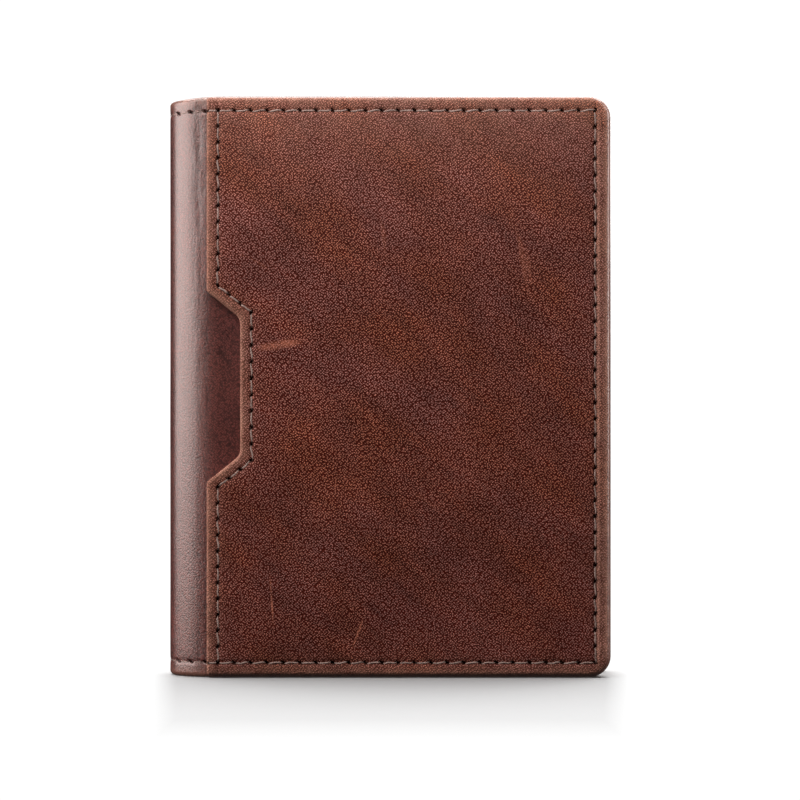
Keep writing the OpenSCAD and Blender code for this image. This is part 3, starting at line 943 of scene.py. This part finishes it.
def inner_panels(side, out):
    """Lining, sleeve panel and card slots of one cover. out points to the panels' inner faces."""
    def inner_face(node):
        low, high = node_box(side + node)
        return low, high, (high[1] if out > 0 else low[1])

    low, high, face_y = inner_face("_lining")
    piece = plate(
        side + "_lining_cloth", leaf_corners(COVER_START, high[0], low[2], high[2]), [0, 3, 3, 0], face_y,
        out, high[1] - low[1], LINING, edge_r=0.1, back_r=0.05, still=(3,), wave=0.0, grid=2.5)
    piece_of(piece, side, "lining", side + "_lining")

    levels = ["_card_slot_rear", "_card_slot_middle", "_card_slot_front"]
    slot_tops = [node_box(side + node)[1][2] for node in levels]
    slot_x = node_box(side + "_card_slot_front")[0][0]
    low, high, face_y = inner_face("_sleeve_panel")
    crease_x = low[0] + 1.6
    sleeve_seam = open_seam(low[0] + LEAF_MARGIN)
    sleeve = plate(
        side + "_sleeve_skin", leaf_corners(low[0], high[0], low[2], high[2]), [0.4, 3, 3, 0.4], face_y,
        out, high[1] - low[1], INNER_LEATHER, edge_r=0.3, back_r=0.12, seams=[sleeve_seam], wave=0.02,
        creases=[((crease_x, low[2]), (crease_x, high[2]), *LEAF_CREASE)], seed=2.0 * out, edge_wear_and_highlight_reach=0.8)
    piece_of(sleeve, side, "inner_leather", side + "_sleeve_panel")

    # the stitches that show, listed by the face that they lie on
    seam_stitches = {face_y: [
        (a, b) for a, b in sleeve_seam.stitches()
        if (a + b)[1] / 2 > slot_tops[0] or (a + b)[0] / 2 < slot_x]}
    slot_stitches = {}
    for number, node in enumerate(levels):
        low, high, face_y = inner_face(node)
        top = high[2]
        side_x, end_z, crease_z = slot_x + SLOT_MARGIN, top - LEAF_MARGIN, top - 1.7
        seam = Seam([(low[0] + LEAF_MARGIN, SEAM_FOOT), (SEAM_RIGHT, SEAM_FOOT), (SEAM_RIGHT, end_z)])
        side_seam = Seam([(side_x, SEAM_FOOT + PITCH), (side_x, end_z)])
        slot = plate(
            side + node + "_skin", leaf_corners(low[0], high[0], low[2], top), [0.4, 3, 0.5, 0.5], face_y,
            out, high[1] - low[1], INNER_LEATHER, edge_r=0.26, back_r=0.1, seams=[seam, side_seam],
            wave=0.025, creases=[((low[0], crease_z), (high[0], crease_z), *LEAF_CREASE)],
            seed=out * (3.0 + number), edge_wear_and_highlight_reach=0.8)
        piece_of(slot, side, "inner_leather", side + node)
        covered = slot_tops[number + 1] if number + 1 < len(levels) else low[2]
        seam_stitches[face_y] = shown(seam.stitches(), covered)
        slot_stitches[face_y] = shown(side_seam.stitches(), covered)
    for label, found, nodes in (
            ("_seam_thread", seam_stitches, ()),
            ("_slot_thread", slot_stitches, [side + "_slot_stitching"])):
        for number, (y, pairs) in enumerate(found.items()):
            piece = thread(f"{side}{label}_{number}", pairs, on_face(y, out), THREAD)
            piece_of(piece, side, "thread", *nodes)


# -------- pieces of the spine

def spine():
    """The spine's leather, lining and seams, in four pieces that each span one fold line."""
    names = ("back", "middle", "front")
    for number in range(len(FOLDS)):
        leather_piece = bent_sheet(
            f"spine_skin_{number}", number, 0, HEIGHT, lambda s: 0.0, spine_depth, SPINE_LEATHER, 0.8, 0.5,
            SPINE_SEAMS, wave=0.05)
        cloth_low, cloth_high = node_box("back_lining")
        cloth = bent_sheet(
            f"spine_cloth_{number}", number, cloth_low[2], cloth_high[2], spine_depth,
            lambda s: spine_depth(s) + LINING_T, LINING, 0.1, 0.05)
        pairs = [
            (a, b) for seam in SPINE_SEAMS for a, b in seam.stitches()
            if CUTS[number] <= (a + b)[0] / 2 < CUTS[number + 1]]
        stitches = thread(f"spine_thread_{number}", pairs, on_spine, THREAD, top=-0.02, radius=0.13)
        for piece, slot, kind in (
                (leather_piece, "spine_leather", "leather"), (cloth, "lining", "lining"),
                (stitches, "thread", "stitching")):
            bend(piece)
            if number < len(names):
                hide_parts(f"spine_{kind}_{names[number]}")


back_cover()
front_cover()
inner_panels("back", -1)
inner_panels("front", 1)
spine()

# the boards and foils are flat and closed in, so the frame's own solids show them
board, shield = fibre_board(), foil()
for side in ("back", "front"):
    for node, material in ((side + "_stiffener", board), (side + "_rfid_sheet", shield)):
        mesh = frame["nodes"][node].data
        mesh.materials.clear()
        mesh.materials.append(material)


# -------- stage, light and camera

def floor():
    """A white floor, lit in front of the wallet and behind it and even white beyond."""
    side_fade, far_fade, taper = (RIGHT - 0.5, RIGHT + 4.0), (72, 106), 0.08
    n = Nodes("white_floor")
    mm = n.millimetres()
    apart = n.add("VectorMath", {0: mm}, operation="ABSOLUTE").outputs[0]
    across, along = (n.add("SeparateXYZ", {0: apart}).outputs[k] for k in ("X", "Y"))
    tapered = n.math("ADD", across, n.math("MULTIPLY", along, taper))
    reach = n.math("MAXIMUM", n.range(tapered, *side_fade), n.range(along, *far_fade))
    paper = n.noise(mm, 0.4, 3.0)
    colour = n.mix(paper, rgb(0.89, 0.89, 0.89), rgb(0.91, 0.91, 0.91))
    lit = n.add("BsdfDiffuse", {"Color": colour, "Roughness": 0.5}).outputs[0]
    even = n.add("Emission", {"Color": rgb(1, 1, 1), "Strength": 1.05}).outputs[0]
    both = n.add("MixShader", {0: reach, 1: lit, 2: even}).outputs[0]
    n.add("OutputMaterial", {"Surface": both})
    mesh = bpy.data.meshes.new("floor")
    half = 2.5
    corners = [(x * half, y * half, 0) for x, y in ((-1, -1), (1, -1), (1, 1), (-1, 1))]
    mesh.from_pydata(corners, [], [(0, 1, 2, 3)])
    mesh.materials.append(n.material)
    ground = add_object("floor", mesh)
    ground.visible_diffuse = False
    ground.visible_glossy = False
    return ground


def softbox(name, place, target, size, power, colour=(1, 1, 1), unlit=None):
    """A rectangular softbox that faces target. It lights everything but the collection unlit."""
    light = bpy.data.lights.new(name, "AREA")
    light.shape = "RECTANGLE"
    light.size, light.size_y = size
    light.energy = power
    light.color = colour
    holder = add_object(name, light)
    holder.location = place
    holder.rotation_euler = (Vector(target) - Vector(place)).to_track_quat("-Z", "Y").to_euler()
    holder.visible_camera = False
    if unlit:
        holder.light_linking.receiver_collection = unlit


def world(colour, strength):
    """A faint even surround, which the camera sees as plain white."""
    found = bpy.data.worlds.new("studio")
    found.use_nodes = True
    tree = found.node_tree
    background = tree.nodes["Background"]
    background.inputs["Color"].default_value = (*colour, 1)
    background.inputs["Strength"].default_value = strength
    white = tree.nodes.new("ShaderNodeBackground")
    white.inputs["Color"].default_value = (1, 1, 1, 1)
    white.inputs["Strength"].default_value = 1.1
    path = tree.nodes.new("ShaderNodeLightPath")
    either = tree.nodes.new("ShaderNodeMixShader")
    tree.links.new(path.outputs["Is Camera Ray"], either.inputs[0])
    tree.links.new(background.outputs[0], either.inputs[1])
    tree.links.new(white.outputs[0], either.inputs[2])
    tree.links.new(either.outputs[0], tree.nodes["World Output"].inputs["Surface"])
    bpy.context.scene.world = found


ground_only = bpy.data.collections.new("floor_only")
ground_only.objects.link(floor())
ground_only.collection_objects[0].light_linking.link_state = "EXCLUDE"
CENTRE = (0.0, 0.0, HEIGHT / 2 * MM)
softbox("key_box", (-0.06, -0.16, 0.26), CENTRE, (0.3, 0.1), 0.66, (1.0, 0.97, 0.94), ground_only)
softbox("left_box", (-0.55, -0.17, 0.198), CENTRE, (0.68, 0.44), 4.5, (1.0, 0.96, 0.94), ground_only)
softbox("right_box", (0.60, -0.05, 0.25), CENTRE, (0.2, 0.5), 2.9, (1.0, 0.94, 0.92), ground_only)
softbox("back_box", (0.25, 0.60, 0.30), CENTRE, (0.5, 0.4), 3.0, (1.0, 0.98, 0.97), ground_only)
softbox("top_box", (0.0, 0.23, 0.75), (0.0, 0.23, 0.0), (1.0, 0.7), 12.6)
world((1, 1, 1), 0.04)

CAMERA_PLACE = (1.63, PANEL_LOW[1] - 500.0, 50.1)
view = bpy.data.cameras.new("camera")
view.sensor_width = 36.0
view.lens = 124.85
view.clip_end = 10.0
camera = add_object("camera", view)
camera.location = [v * MM for v in CAMERA_PLACE]
camera.rotation_euler = (math.radians(90), 0, 0)
bpy.context.scene.camera = camera
bpy.context.scene.view_settings.view_transform = "Standard"
